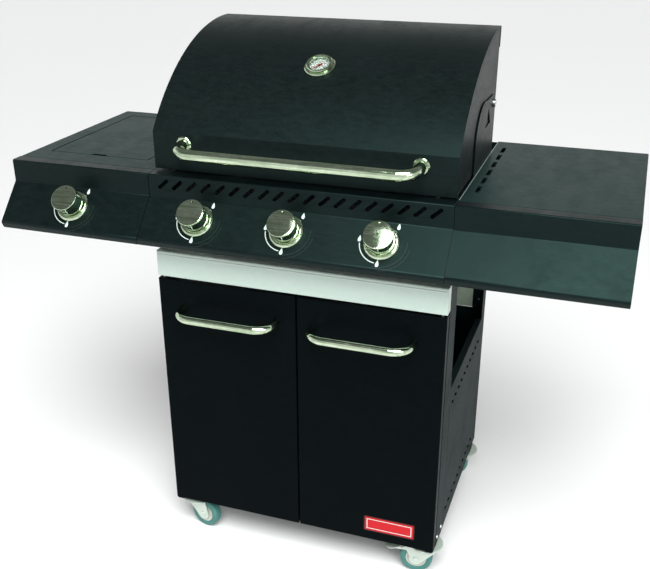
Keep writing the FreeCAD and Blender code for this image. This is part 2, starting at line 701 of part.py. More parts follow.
def post_screw_holes():
    holes = []
    half = CABINET / 2
    for y, z in POST_SCREWS:
        holes.append(rod((half - 5, y, z), (half + 5, y, z), 2))
    for x, z in REAR_SCREWS:
        holes.append(rod((x, POST_REAR - 5, z), (x, POST_REAR + 5, z), 2))
    return group(holes)


def cart_posts():
    """Four posts from the cabinet floor to the firebox rim."""
    front = front_post().cut(post_screw_holes())
    rear = rear_post().cut(post_screw_holes())
    return group([front, mirrored(front), rear, mirrored(rear)])


def side_panels():
    """Lower side sheets between the posts, each with two rows of slanting slots."""
    half = CABINET / 2
    panel = box(half - SHEET, half, 89.6, 432.4, FLOOR_Z + SHEET, SIDE_TOP)
    fold = box(half - 14, half, 89.6, 432.4, SIDE_TOP - SHEET, SIDE_TOP)
    panel = fused([panel, fold])
    cuts = []
    for z in (114.0, 382.0):
        for step in range(10):
            y = 118 + 31.6 * step
            cuts.append(long_hole((half - 5, y - 8, z + 3.6), (half - 5, y + 8, z - 3.6), 3.2, (8, 0, 0)))
    return pair(panel.cut(group(cuts)))


def rear_sheet(z0, z1, screws):
    sheet = box(-290, 290, POST_REAR, POST_REAR + THIN, z0, z1)
    for x, z in screws:
        for side in (-1, 1):
            sheet = sheet.cut(rod((side * x, POST_REAR - 5, z), (side * x, POST_REAR + 5, z), 2))
    return sheet


def back_panel():
    """Lower rear sheet with two rows of ventilation slots."""
    sheet = rear_sheet(FLOOR_Z + SHEET, SIDE_TOP + 9, REAR_SCREWS[:2])
    cuts = []
    for z in (120.0, 390.0):
        for step in range(-7, 8):
            x = step * 31.6
            cuts.append(long_hole((x - 6, POST_REAR - 3, z - 5), (x + 6, POST_REAR - 3, z + 5), 2.4, (0, 9, 0)))
    return sheet.cut(group(cuts))


def rear_crossbar():
    """Bare galvanised sheet across the upper rear, under the grease tray."""
    return rear_sheet(SIDE_TOP + 10, 640, REAR_SCREWS[2:])


def front_rail():
    """Light rail above the doors: a folded pan open to the back with a bead near its top."""
    half = CABINET / 2
    outer = box(-half, half, DOOR_FRONT, POST_FRONT, RAIL_BOTTOM, RAIL_TOP)
    front_edges = [edge for edge in outer.Edges if abs(edge.BoundBox.YMax - DOOR_FRONT) < 1e-6]
    outer = outer.makeFillet(3.0, front_edges)
    inner = box(-half + SHEET, half - SHEET, DOOR_FRONT + SHEET, POST_FRONT, RAIL_BOTTOM + SHEET, RAIL_TOP - SHEET)
    bead = rod((-half + 4, DOOR_FRONT + 0.6, RAIL_TOP - 7), (half - 4, DOOR_FRONT + 0.6, RAIL_TOP - 7), 1.6)
    rail = fused([outer.cut(inner), bead])
    for x in (-HINGE_X, HINGE_X):
        rail = rail.cut(rod((x, HINGE_Y, RAIL_BOTTOM - 5), (x, HINGE_Y, RAIL_BOTTOM + 5), 3))
    return rail


def right_door():
    """Folded door with an open back, return edges, hinge pin holes and handle holes."""
    half = CABINET / 2
    x0, x1 = 1.5, half
    outer = box(x0, x1, DOOR_FRONT, DOOR_FRONT + DOOR_DEPTH, DOOR_BOTTOM, DOOR_TOP)
    front_edges = [edge for edge in outer.Edges if abs(edge.BoundBox.YMax - DOOR_FRONT) < 1e-6]
    outer = outer.makeFillet(2.5, front_edges)
    inner = box(x0 + THIN, x1 - THIN, DOOR_FRONT + THIN, DOOR_FRONT + DOOR_DEPTH - THIN,
                DOOR_BOTTOM + THIN, DOOR_TOP - THIN)
    back = box(x0 + 16, x1 - 16, DOOR_FRONT + 5, DOOR_FRONT + DOOR_DEPTH + 5, DOOR_BOTTOM + 16, DOOR_TOP - 16)
    door = outer.cut(inner).cut(back)
    for z0, z1 in ((DOOR_TOP - 5, DOOR_TOP + 5), (DOOR_BOTTOM - 5, DOOR_BOTTOM + 5)):
        door = door.cut(rod((HINGE_X, HINGE_Y, z0), (HINGE_X, HINGE_Y, z1), 3.06))
    return door


DOOR_HANDLE_Z = 561.5
DOOR_HANDLE_OUT = -44.0
LEFT_HANDLE = (-244.0, -42.0)             # x of both feet
RIGHT_HANDLE = (35.0, 237.0)


def door_handle(feet):
    """Chrome bar bent back to the door at both ends."""
    x0, x1 = feet
    z = DOOR_HANDLE_Z
    out = DOOR_HANDLE_OUT
    return tube([(x0, DOOR_FRONT, z), (x0, out, z), (x1, out, z), (x1, DOOR_FRONT, z)], 36, 8.8)


def hinge_pins():
    """Two pins for each door and the long rod of the side burner lid."""
    pins = []
    for x in (-HINGE_X, HINGE_X):
        pins.append(rod((x, HINGE_Y, DOOR_TOP - 12), (x, HINGE_Y, RAIL_BOTTOM + 4), 3))
        pins.append(rod((x, HINGE_Y, FLOOR_Z - 1), (x, HINGE_Y, DOOR_BOTTOM + 12), 3))
    x0, x1 = LID[0] - 6, LID[1] + 6
    pins.append(rod((x0, LID_PIVOT_Y, LID_PIVOT_Z), (x1, LID_PIVOT_Y, LID_PIVOT_Z), 2))
    return group(pins)


def magnet_catch():
    """Catch under the rail: a bracket with one magnet for each door."""
    bracket = box(-34, 34, POST_FRONT - 2.5, POST_FRONT, 600, RAIL_BOTTOM)
    magnets = [box(5, 27, DOOR_FRONT + DOOR_DEPTH + 0.4, POST_FRONT - 2.5, 602, 618),
               box(-27, -5, DOOR_FRONT + DOOR_DEPTH + 0.4, POST_FRONT - 2.5, 602, 618)]
    return group([bracket] + magnets)


def screw(x, y, z, head_axis):
    """Pan head screw whose head sits at the point and looks along head_axis."""
    head = turned([(0, 0), (4.2, 0), (3.9, 1.4), (2.6, 2.4), (0, 2.7)])
    shank = rod((0, 0, -4), (0, 0, 0.5), 2)
    body = fused([head, shank])
    turn = FreeCAD.Rotation(Z_AXIS, Vector(*head_axis))
    body.Placement = FreeCAD.Placement(Vector(x, y, z), turn)
    return body


def bolts_and_screws():
    """Hood hinge bolts, the screws at the foot of the posts and those of the rear sheets."""
    half = CABINET / 2
    pieces = []
    for side in (-1, 1):
        shank = rod((side * (half - 9), PIVOT_Y, PIVOT_Z), (side * (half + SHEET), PIVOT_Y, PIVOT_Z), 4)
        head = rod((side * (half + SHEET), PIVOT_Y, PIVOT_Z), (side * (half + 6), PIVOT_Y, PIVOT_Z), 8)
        nut = rod((side * (half - 9), PIVOT_Y, PIVOT_Z), (side * (half - 5), PIVOT_Y, PIVOT_Z), 7)
        pieces.append(fused([shank, head, nut]))
        for y, z in POST_SCREWS:
            pieces.append(screw(side * half, y, z, (side, 0, 0)))
        for x, z in REAR_SCREWS:
            pieces.append(screw(side * x, POST_REAR + THIN, z, (0, 1, 0)))
    return group(pieces)


def grease_tray():
    """Shallow tray that pulls out to the back, with a folded grip at its rear edge."""
    tray = pan(-254, 254, 60, 466, 652, 672, THIN, 6.0, "top")
    grip = box(-60, 60, 464.5, 484, 652, 652 + THIN)
    lip = box(-60, 60, 484 - THIN, 484, 652, 660)
    return fused([tray, grip, lip])


def tray_runners():
    """Angle strips between the posts that carry the grease tray's edges."""
    wall = box(262, 264, POST_FRONT + SHEET, POST_REAR - SHEET, 645, 690)
    foot = box(244, 264, POST_FRONT + SHEET, POST_REAR - SHEET, 645, 651.5)
    tie_front = box(262, CABINET / 2 - SHEET, POST_FRONT + SHEET, POST_FRONT + 4, 645, 690)
    tie_rear = box(262, CABINET / 2 - SHEET, POST_REAR - SHEET - 2.5, POST_REAR - SHEET, 645, 690)
    return pair(fused([wall, foot, tie_front, tie_rear]))


# ---------------------------------------------------------------- casters
def caster_plates():
    """Mounting plates with ball race and king pin, under the cabinet floor."""
    plates = []
    for name, (x, y, _) in CASTERS.items():
        plate = rounded_upright(box(-21, 21, -24, 24, FLOOR_Z - 2, FLOOR_Z), 5.0, lambda p: True)
        race = turned([(0, FORK_TOP + 0.1), (17, FORK_TOP + 0.1), (19, FLOOR_Z - 2), (0, FLOOR_Z - 2)])
        king_pin = turned([(0, 69.2), (6, 69.2), (6, 70.6), (4, 70.6), (4, FORK_TOP + 0.1), (0, FORK_TOP + 0.1)])
        plate = fused([plate, race, king_pin])
        plate.translate(Vector(x, y, 0))
        plates.append(plate)
    return group(plates)


def fork(name):
    """Swivelling fork with round ends at its axle; braked ones also carry the pedal's pin."""
    top = turned([(4.06, FORK_TOP - 2.2), (35, FORK_TOP - 2.2), (36, FORK_TOP - 1), (34, FORK_TOP), (4.06, FORK_TOP)])
    outline = [(-33, FORK_TOP - 1), (26, FORK_TOP - 1), (TRAIL + 13, WHEEL_R + 5), (TRAIL + 8, WHEEL_R - 11),
               (TRAIL - 9, WHEEL_R - 10.7)]
    braked = name in BRAKED
    if braked:
        pin_x, pin_z = PEDAL_PIN
        outline[1:2] = [(pin_x + 5, FORK_TOP - 1), (pin_x + 5, pin_z - 5), (pin_x - 9, pin_z - 5)]
    legs = []
    for y in (13.0, -15.0):
        face = Part.Face(Part.makePolygon([Vector(x, y, z) for x, z in outline + outline[:1]]))
        leg = face.extrude(Vector(0, 2, 0))
        legs.append(fused([leg, rod((TRAIL, y, WHEEL_R), (TRAIL, y + 2, WHEEL_R), 14)]))
    body = fused([top] + legs)
    body = body.cut(rod((TRAIL, -20, WHEEL_R), (TRAIL, 20, WHEEL_R), 4))
    bolt = fused([rod((TRAIL, -15, WHEEL_R), (TRAIL, 15, WHEEL_R), 4),
                  rod((TRAIL, 15, WHEEL_R), (TRAIL, 17.6, WHEEL_R), 6),
                  rod((TRAIL, -15, WHEEL_R), (TRAIL, -17.6, WHEEL_R), 6)])
    pieces = [body, bolt]
    if braked:
        pin = rod((pin_x, -18.5, pin_z), (pin_x, 18.5, pin_z), 2)
        pieces[0] = body.cut(pin)
        pieces.append(pin)
    return on_caster(group(pieces), name)


def wheel_part(profile, name):
    shape = turned(profile)
    shape.rotate(Vector(0, 0, 0), X_AXIS, 90)
    shape.translate(Vector(TRAIL, 0, WHEEL_R))
    return on_caster(shape, name)


def hub(name):
    """Wheel centre with a deep boss round the axle."""
    return wheel_part([(4.06, -12), (9, -12), (9.5, -8.5), (18, -8), (20.5, -10), (22, -10),
                       (22, 10), (20.5, 10), (18, 8), (9.5, 8.5), (9, 12), (4.06, 12)], name)


def tyre(name):
    """Tread ring with rounded shoulders."""
    return wheel_part([(22, -10), (27, -11.6), (31.5, -11.2), (34, -9), (WHEEL_R, -5), (WHEEL_R, 5),
                       (34, 9), (31.5, 11.2), (27, 11.6), (22, 10)], name)


def brake_pedal(name):
    """Foot lever hinged on the fork's pin: a round-ended plate that slopes down past the wheel."""
    pin_x, pin_z = PEDAL_PIN
    start, end, drop = pin_x + 8, pin_x + 36, 11.0
    slope = [(start, pin_z + 4), (end, pin_z + 4 - drop), (end, pin_z + 2 - drop), (start, pin_z + 2)]
    face = Part.Face(Part.makePolygon([Vector(x, -20, z) for x, z in slope + slope[:1]]))
    outline = fused([box(start, end - 20, -20, 20, 0, 100), rod((end - 20, 0, 0), (end - 20, 0, 100), 20)])
    pieces = [face.extrude(Vector(0, 40, 0)).common(outline)]
    for y in (15.4, -17.4):
        pieces.append(box(pin_x - 4, pin_x + 12, y, y + 2, pin_z - 3, pin_z + 3))
    lever = fused(pieces)
    return on_caster(lever.cut(rod((pin_x, -25, pin_z), (pin_x, 25, pin_z), 2.05)), name)


# ---------------------------------------------------------------- assembly
def build_parts():
    door = right_door()
    parts = {
        "control_panel": control_panel(),
        "shelf_fascias": shelf_fascias(),
        "left_shelf": left_shelf(),
        "right_shelf": right_shelf(),
        "side_burner_bowl": side_burner_bowl(),
        "side_burner_head": side_burner_head(),
        "side_burner_grate": side_burner_grate(),
        "side_burner_lid": side_burner_lid(),
        "hood_shell": hood_shell(),
        "hood_ends": hood_ends(),
        "hood_handle": hood_handle(),
        "thermometer_bezel": thermometer_bezel(),
        "thermometer_dial": thermometer_dial(),
        "thermometer_needle": thermometer_needle(),
        "thermometer_glass": thermometer_glass(),
        "hood_end_plates": hood_end_plates(),
        "firebox": firebox(),
        "back_guard": back_guard(),
        "hood_bumpers": hood_bumpers(),
        "burner_tubes": burner_tubes(),
        "heat_tents": heat_tents(),
        "cooking_grates": cooking_grates(),
        "warming_rack": warming_rack(),
        "knob_bezels": knob_bezels(),
        "gas_valves": gas_valves(),
        "gas_pipework": gas_pipework(),
        "bottom_panel": bottom_panel(),
        "cart_posts": cart_posts(),
        "side_panels": side_panels(),
        "back_panel": back_panel(),
        "rear_crossbar": rear_crossbar(),
        "front_rail": front_rail(),
        "right_door": door,
        "left_door": mirrored(door),
        "right_door_handle": door_handle(RIGHT_HANDLE),
        "left_door_handle": door_handle(LEFT_HANDLE),
        "hinge_pins": hinge_pins(),
        "magnet_catch": magnet_catch(),
        "bolts_and_screws": bolts_and_screws(),
        "grease_tray": grease_tray(),
        "tray_runners": tray_runners(),
        "caster_plates": caster_plates(),
    }
    for name, x in KNOB_X.items():
        parts[name] = knob(x)
    for name in CASTERS:
        parts[name + "_fork"] = fork(name)
        parts[name + "_hub"] = hub(name)
        parts[name + "_tyre"] = tyre(name)
        if name in BRAKED:
            parts[name + "_brake_pedal"] = brake_pedal(name)
    return parts


def main():
    os.makedirs("parts", exist_ok=True)
    whole = FreeCAD.BoundBox()
    for name, shape in build_parts().items():
        shape.translate(Vector(0, -DEPTH_CENTRE, 0))
        whole.add(shape.BoundBox)
        shape.exportStep(os.path.join("parts", name + ".step"))
        print(name, len(shape.Solids), "solid" if shape.isValid() else "INVALID", round(shape.Volume))
    print("box x", whole.XMin, whole.XMax, "y", whole.YMin, whole.YMax, "z", whole.ZMin, whole.ZMax)


main()
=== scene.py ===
import json
import math

import bmesh
import bpy
from mathutils import Matrix, Vector


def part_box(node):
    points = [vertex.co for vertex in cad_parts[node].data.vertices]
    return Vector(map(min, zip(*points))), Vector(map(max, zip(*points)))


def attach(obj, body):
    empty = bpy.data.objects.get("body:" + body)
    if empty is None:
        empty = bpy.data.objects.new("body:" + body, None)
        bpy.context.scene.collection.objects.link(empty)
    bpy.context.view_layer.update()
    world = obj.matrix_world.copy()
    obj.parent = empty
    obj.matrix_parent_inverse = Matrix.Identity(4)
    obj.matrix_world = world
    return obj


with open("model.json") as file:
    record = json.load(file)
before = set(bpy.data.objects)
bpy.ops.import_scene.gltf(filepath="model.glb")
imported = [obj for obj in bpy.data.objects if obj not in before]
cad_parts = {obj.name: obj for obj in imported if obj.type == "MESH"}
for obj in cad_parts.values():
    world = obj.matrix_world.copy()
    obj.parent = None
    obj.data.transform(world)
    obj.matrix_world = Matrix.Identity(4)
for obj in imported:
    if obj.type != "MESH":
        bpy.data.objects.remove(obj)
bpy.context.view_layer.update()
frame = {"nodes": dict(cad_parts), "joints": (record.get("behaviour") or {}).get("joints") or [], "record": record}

nodes = frame["nodes"]
slot_of = {part["node"]: part["material_slot"] for part in frame["record"]["subparts"]}
joint_of = {joint["child"]: joint for joint in frame["joints"]}
MM = 0.001


# ---------------------------------------------------------------- material recipes
ROLLED_ALONG_X = (0.05, 1.0, 1.0)
PIGMENT_TINT = (0.55, 1.0, 0.90, 1.0)


class Recipe:
    """A Principled material whose colour, roughness and relief come from procedural nodes."""

    def __init__(self, name, **sockets):
        self.material = bpy.data.materials.new(name)
        self.material.use_nodes = True
        self.tree = self.material.node_tree
        self.shader = self.tree.nodes["Principled BSDF"]
        self.place = self.tree.nodes.new("ShaderNodeTexCoord").outputs["Object"]
        for socket, value in sockets.items():
            self.shader.inputs[socket.replace("_", " ")].default_value = value

    def add(self, kind, **settings):
        node = self.tree.nodes.new(kind)
        for key, value in settings.items():
            setattr(node, key, value)
        return node

    def join(self, source, target):
        self.tree.links.new(source, target)

    def stretched(self, scale):
        """Object coordinates multiplied by (x, y, z), for grain that runs one way."""
        mapping = self.add("ShaderNodeMapping")
        mapping.inputs["Scale"].default_value = scale
        self.join(self.place, mapping.inputs["Vector"])
        return mapping.outputs["Vector"]

    def noise(self, size, detail=3.0, place=None, low=0.0, high=1.0, soft=0.6):
        """Noise with grains of about size millimetres; values under low give 0 and over high give 1."""
        noise = self.add("ShaderNodeTexNoise")
        noise.inputs["Scale"].default_value = 1000.0 / size
        noise.inputs["Detail"].default_value = detail
        noise.inputs["Roughness"].default_value = soft
        self.join(place or self.place, noise.inputs["Vector"])
        if (low, high) == (0.0, 1.0):
            return noise.outputs["Fac"]
        return self.between(noise.outputs["Fac"], low, high, 0.0, 1.0)

    def cells(self, size):
        """Cell pattern with cells of about size millimetres."""
        cells = self.add("ShaderNodeTexVoronoi")
        cells.inputs["Scale"].default_value = 1000.0 / size
        self.join(self.place, cells.inputs["Vector"])
        return cells

    def between(self, value, low, high, first, last):
        """A value that goes from low to high, mapped to go from first to last."""
        span = self.add("ShaderNodeMapRange")
        for socket, number in (("From Min", low), ("From Max", high), ("To Min", first), ("To Max", last)):
            span.inputs[socket].default_value = number
        self.join(value, span.inputs["Value"])
        return span.outputs["Result"]

    def mixed(self, first, second, factor):
        """Colour between first and second; each is a colour or a socket."""
        mix = self.add("ShaderNodeMix", data_type="RGBA")
        for socket, colour in ((mix.inputs[6], first), (mix.inputs[7], second)):
            if isinstance(colour, tuple):
                socket.default_value = (*colour, 1.0)
            else:
                self.join(colour, socket)
        self.join(factor, mix.inputs["Factor"])
        return mix.outputs[2]

    def times(self, first, second, operation="MULTIPLY"):
        """Product of a socket and a socket or number, or another operation on them."""
        node = self.add("ShaderNodeMath", operation=operation)
        self.join(first, node.inputs[0])
        if isinstance(second, (int, float)):
            node.inputs[1].default_value = second
        else:
            self.join(second, node.inputs[1])
        return node.outputs["Value"]

    def colour(self, value):
        self.join(value, self.shader.inputs["Base Color"])

    def roughness(self, source, low, high, first=0.3, last=0.7):
        """Roughness from low to high while the source goes from first to last."""
        self.join(self.between(source, first, last, low, high), self.shader.inputs["Roughness"])

    def relief(self, *layers):
        """Bump layers, each a socket with its height in millimetres."""
        normal = None
        for height, depth in layers:
            bump = self.add("ShaderNodeBump")
            bump.inputs["Strength"].default_value = 1.0
            bump.inputs["Distance"].default_value = depth * MM
            self.join(height, bump.inputs["Height"])
            if normal:
                self.join(normal, bump.inputs["Normal"])
            normal = bump.outputs["Normal"]
        self.join(normal, self.shader.inputs["Normal"])


def powder_coat(name, dark, light, rough, specular, peel=0.02):
    """Baked powder paint: fine speckle, orange peel, faint cloudiness and wiped smudges."""
    paint = Recipe(name, Specular_IOR_Level=specular, Specular_Tint=PIGMENT_TINT)
    grains = paint.noise(1.6, 4.0, low=0.42, high=0.66)
    clouds = paint.noise(120.0, 3.0, low=0.3, high=0.75)
    smudges = paint.noise(38.0, 5.0, place=paint.stretched((1.0, 0.35, 0.6)), low=0.45, high=0.75)
    mottle = paint.noise(9.0, 5.0, place=paint.stretched((0.45, 1.0, 1.0)), low=0.38, high=0.66, soft=0.75)
    body = paint.mixed(dark, light, paint.times(grains, 0.5))
    body = paint.mixed(body, light, paint.times(mottle, 0.32))
    paint.colour(paint.mixed(body, light, paint.times(clouds, 0.2)))
    patchy = paint.times(paint.times(mottle, 0.45), paint.times(smudges, 0.45), "ADD")
    paint.roughness(patchy, rough - 0.05, rough + 0.09, 0.0, 0.8)
    paint.relief((paint.noise(2.6, 2.0), peel), (grains, peel * 0.4))
    return paint.material


def polished_chrome(name, tint, reflection_streak, rough):
    """Plated metal with polishing marks, a slightly wavy surface and dull fingerprints; its base colour is mixed
    towards a darker colour in bands along x and in patches as painted reflections.
    """
    chrome = Recipe(name, Metallic=1.0)
    prints = chrome.noise(24.0, 5.0, low=0.5, high=0.78)
    streaks = chrome.noise(3.6, 5.0, place=chrome.stretched(ROLLED_ALONG_X), low=0.38, high=0.62)
    mottle = chrome.noise(11.0, 4.0, low=0.34, high=0.7)
    body = chrome.mixed(tint, reflection_streak, chrome.times(streaks, 0.8))
    chrome.colour(chrome.mixed(body, reflection_streak, chrome.times(mottle, 0.45)))
    chrome.roughness(chrome.times(prints, chrome.times(streaks, 0.4), "ADD"), rough, rough + 0.14, 0.0, 1.0)
    chrome.relief((chrome.noise(60.0, 2.0), 0.05), (chrome.noise(16.0, 2.0), 0.03))
    return chrome.material


def cast_metal(name, dark, light, rough, grain):
    """Rough casting with pits and rubbed patches."""
    cast = Recipe(name, Specular_IOR_Level=0.4)
    pits = cast.noise(grain, 5.0)
    rubbed = cast.noise(30.0, 4.0, low=0.45, high=0.7)
    cast.colour(cast.mixed(dark, light, cast.times(pits, rubbed)))
    cast.roughness(rubbed, rough, rough - 0.18, 0.0, 1.0)
    cast.relief((pits, 0.35), (cast.noise(grain * 0.35, 3.0), 0.1))
    return cast.material


def sheet_metal(name, tint, dark, rough, grain, spangle=0.0, metallic=1.0):
    """Bare or plated sheet: rolled grain one way, stains, and zinc spangle where asked."""
    sheet = Recipe(name, Metallic=metallic)
    brushed = sheet.noise(grain, 3.0, place=sheet.stretched(ROLLED_ALONG_X))
    stains = sheet.noise(70.0, 5.0, low=0.42, high=0.72)
    factor = sheet.times(sheet.times(brushed, 0.45), sheet.times(stains, 0.5), "ADD")
    if spangle:
        flakes = sheet.cells(9.0)
        tone = sheet.add("ShaderNodeSeparateColor")
        sheet.join(flakes.outputs["Color"], tone.inputs["Color"])
        factor = sheet.times(factor, sheet.times(tone.outputs[0], spangle), "ADD")
    sheet.colour(sheet.mixed(tint, dark, factor))
    sheet.roughness(factor, rough, rough + 0.2, 0.1, 0.9)
    sheet.relief((brushed, 0.012), (stains, 0.02))
    return sheet.material


def moulded(name, base, worn, rough):
    """Moulded rubber or plastic: fine texture, scuffs and a little dust."""
    plastic = Recipe(name, Specular_IOR_Level=0.4)
    texture = plastic.noise(0.9, 3.0)
    scuffs = plastic.noise(14.0, 5.0, low=0.5, high=0.75)
    plastic.colour(plastic.mixed(base, worn, scuffs))
    plastic.roughness(scuffs, rough, rough + 0.15, 0.0, 1.0)
    plastic.relief((texture, 0.05), (scuffs, 0.03))
    return plastic.material


def vitreous_enamel(name, dark, light):
    """Glossy porcelain enamel with tiny white flecks and faint heat stains."""
    enamel = Recipe(name, Specular_IOR_Level=0.5, Coat_Weight=0.3, Coat_Roughness=0.1)
    flecks = enamel.noise(1.1, 2.0, low=0.68, high=0.74)
    stains = enamel.noise(55.0, 4.0, low=0.4, high=0.7)
    body = enamel.mixed(dark, light, enamel.times(stains, 0.3))
    enamel.colour(enamel.mixed(body, (0.25, 0.27, 0.27), enamel.times(flecks, 0.4)))
    enamel.roughness(stains, 0.16, 0.4, 0.0, 1.0)
    enamel.relief((enamel.noise(5.0, 2.0), 0.03))
    return enamel.material


def printed(name, ink, under, wear=0.2):
    """Screen-printed or enamelled marking, slightly worn; the same recipe also makes the painted highlight and
    painted shade strips.
    """
    marking = Recipe(name, Specular_IOR_Level=0.3)
    rubbed = marking.noise(2.2, 4.0, low=0.5, high=0.8)
    marking.colour(marking.mixed(ink, under, marking.times(rubbed, wear)))
    marking.roughness(rubbed, 0.4, 0.6, 0.0, 1.0)
    marking.relief((marking.noise(1.2, 2.0), 0.01))
    return marking.material


def clear_glass(name):
    """Clear glass with a faint haze."""
    glass = Recipe(name, Transmission_Weight=1.0, IOR=1.45)
    haze = glass.noise(9.0, 4.0, low=0.5, high=0.8)
    glass.colour(glass.mixed((0.97, 0.99, 0.98), (0.9, 0.93, 0.92), haze))
    glass.roughness(haze, 0.01, 0.08, 0.0, 1.0)
    return glass.material


def make_finishes(rows):
    """Materials by name, from rows of a recipe, its values and maybe a dict of named ones."""
    made = {}
    for name, (recipe, *values) in rows.items():
        named = values.pop() if values and isinstance(values[-1], dict) else {}
        made[name] = recipe(name, *values, **named)
    return made


finishes = make_finishes({
    "hood_paint": (powder_coat, (0.0014, 0.0026, 0.0028), (0.010, 0.015, 0.015), 0.42, 0.13),
    "panel_paint": (powder_coat, (0.0010, 0.0020, 0.0026), (0.006, 0.010, 0.010), 0.40, 0.17),
    # shelf_paint is the same black powder coat made lighter and greener, as painted sheen on the up-facing shelves
    "shelf_paint": (powder_coat, (0.0025, 0.0110, 0.0100), (0.012, 0.032, 0.029), 0.46, 0.16),
    "door_paint": (powder_coat, (0.0010, 0.0014, 0.0020), (0.0032, 0.0042, 0.0054), 0.40, 0.03,
                   dict(peel=0.012)),
    "cart_paint": (powder_coat, (0.0010, 0.0042, 0.0050), (0.006, 0.014, 0.016), 0.60, 0.10),
    "rail_paint": (powder_coat, (0.48, 0.555, 0.508), (0.58, 0.65, 0.605), 0.38, 0.45, dict(peel=0.012)),
    "enamel": (vitreous_enamel, (0.006, 0.008, 0.009), (0.02, 0.02, 0.019)),
    # chrome: the olive tint and the dark olive second colour are painted reflections
    "chrome": (polished_chrome, (0.76, 0.84, 0.67), (0.30, 0.42, 0.25), 0.05),
    "rack_chrome": (polished_chrome, (0.68, 0.67, 0.64), (0.45, 0.42, 0.38), 0.16),
    "cast_iron": (cast_metal, (0.008, 0.008, 0.008), (0.035, 0.034, 0.032), 0.62, 1.4),
    "stainless": (sheet_metal, (0.60, 0.60, 0.57), (0.34, 0.31, 0.27), 0.26, 1.2),
    "galvanised": (sheet_metal, (0.76, 0.90, 0.74), (0.50, 0.60, 0.48), 0.40, 2.0,
                   dict(spangle=0.4, metallic=0.45)),
    "zinc_steel": (sheet_metal, (0.62, 0.64, 0.62), (0.40, 0.41, 0.39), 0.28, 0.8),
    "caster_steel": (sheet_metal, (0.60, 0.66, 0.60), (0.42, 0.46, 0.41), 0.36, 1.0, dict(metallic=0.4)),
    "burner_brass": (sheet_metal, (0.55, 0.50, 0.40), (0.26, 0.22, 0.16), 0.36, 1.2),
    "valve_brass": (sheet_metal, (0.66, 0.50, 0.24), (0.40, 0.29, 0.13), 0.30, 1.0),
    "dial_face": (printed, (0.66, 0.70, 0.66), (0.50, 0.54, 0.50), dict(wear=0.5)),
    "needle_red": (printed, (0.42, 0.015, 0.012), (0.25, 0.01, 0.01)),
    "glass": (clear_glass,),
    "bumper_rubber": (moulded, (0.010, 0.010, 0.010), (0.03, 0.03, 0.03), 0.7),
    "magnet_black": (moulded, (0.012, 0.012, 0.012), (0.04, 0.04, 0.04), 0.5),
    "hub_plastic": (moulded, (0.52, 0.50, 0.46), (0.36, 0.36, 0.30), 0.42),
    "tyre_rubber": (moulded, (0.048, 0.165, 0.150), (0.10, 0.22, 0.20), 0.58),
})
extra_finishes = make_finishes({
    "white_print": (printed, (0.60, 0.68, 0.64), (0.03, 0.04, 0.04), dict(wear=0.35)),
    "faint_ring_tone": (printed, (0.022, 0.030, 0.029), (0.006, 0.009, 0.009), dict(wear=0.7)),
    "dial_print": (printed, (0.020, 0.022, 0.022), (0.3, 0.32, 0.3), dict(wear=0.2)),
    "badge_red": (printed, (0.50, 0.004, 0.010), (0.30, 0.004, 0.008), dict(wear=0.4)),
    "badge_dark": (printed, (0.030, 0.004, 0.005), (0.01, 0.003, 0.003)),
    # the next two are painted highlights for thin strips along edges and folds
    "edge_glint": (printed, (0.42, 0.52, 0.48), (0.16, 0.20, 0.19), dict(wear=0.7)),
    "edge_painted_highlight": (printed, (0.16, 0.22, 0.20), (0.05, 0.07, 0.065), dict(wear=0.8)),
    # painted shade for the seams, the shelf joint and the knob dimples
    "painted_shade_dark": (printed, (0.004, 0.004, 0.004), (0.01, 0.01, 0.01)),
})

for name, node in nodes.items():
    node.data.materials.clear()
    node.data.materials.append(finishes[slot_of[name]])


# ---------------------------------------------------------------- softened edges
def soften(width, *names):
    """Rounds the sharp edges of CAD nodes by width millimetres, as bends and castings are."""
    for name in names:
        weld = nodes[name].modifiers.new("weld", "WELD")
        weld.merge_threshold = 0.01 * MM
        bevel = nodes[name].modifiers.new("bevel", "BEVEL")
        bevel.width = width * MM
        bevel.segments = 2
        bevel.limit_method = "ANGLE"
        bevel.angle_limit = math.radians(40)
        bevel.harden_normals = True


soften(0.5, "left_shelf", "right_shelf", "side_burner_lid", "control_panel", "shelf_fascias")
soften(0.5, "left_door", "right_door", "front_rail", "hood_end_plates", "side_panels", "cart_posts")
soften(0.6, "knob_bezels", "side_burner_knob", "left_burner_knob", "middle_burner_knob", "right_burner_knob")
soften(0.8, "cooking_grates", "side_burner_grate")


# ---------------------------------------------------------------- pieces made here
def linked(name, data):
    """A new object in the scene."""
    obj = bpy.data.objects.new(name, data)
    bpy.context.scene.collection.objects.link(obj)
    return obj


def piece(name, body, finish, slot, build, *values):
    """An object from the mesh that build(bm, *values) makes in the row frame, carried by a CAD body."""
    bm = bmesh.new()
    build(bm, *values)
    bmesh.ops.recalc_face_normals(bm, faces=bm.faces)
    mesh = bpy.data.meshes.new(name)
    bm.to_mesh(mesh)
    bm.free()
    obj = linked(name, mesh)
    mesh.materials.append(extra_finishes[finish])
    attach(obj, body)


def closed(bm, first, last):
    """Closes a solid between two rings of vertices: both ends and the faces round it."""
    bm.faces.new(first[::-1])
    bm.faces.new(last)
    for i in range(len(first)):
        j = (i + 1) % len(first)
        bm.faces.new((first[i], first[j], last[j], last[i]))


def slab(bm, outline, place, bottom, top):
    """A thin plate with an outline of (u, v) points, from height bottom to top, put in place."""
    rings = ([bm.verts.new(place @ Vector((u, v, height))) for u, v in outline] for height in (bottom, top))
    closed(bm, *rings)


BAND_STEPS = 48


def band(bm, inner, outer, start, end, place, bottom, top):
    """Part of a flat ring between two angles in degrees, counted from +u towards +v."""
    angles = [math.radians(start + (end - start) * i / BAND_STEPS) for i in range(BAND_STEPS + 1)]
    for a, b in zip(angles, angles[1:]):
        ends = ((a, inner), (a, outer), (b, outer), (b, inner))
        slab(bm, [(r * math.cos(t), r * math.sin(t)) for t, r in ends], place, bottom, top)
    bmesh.ops.remove_doubles(bm, verts=bm.verts, dist=1e-7)


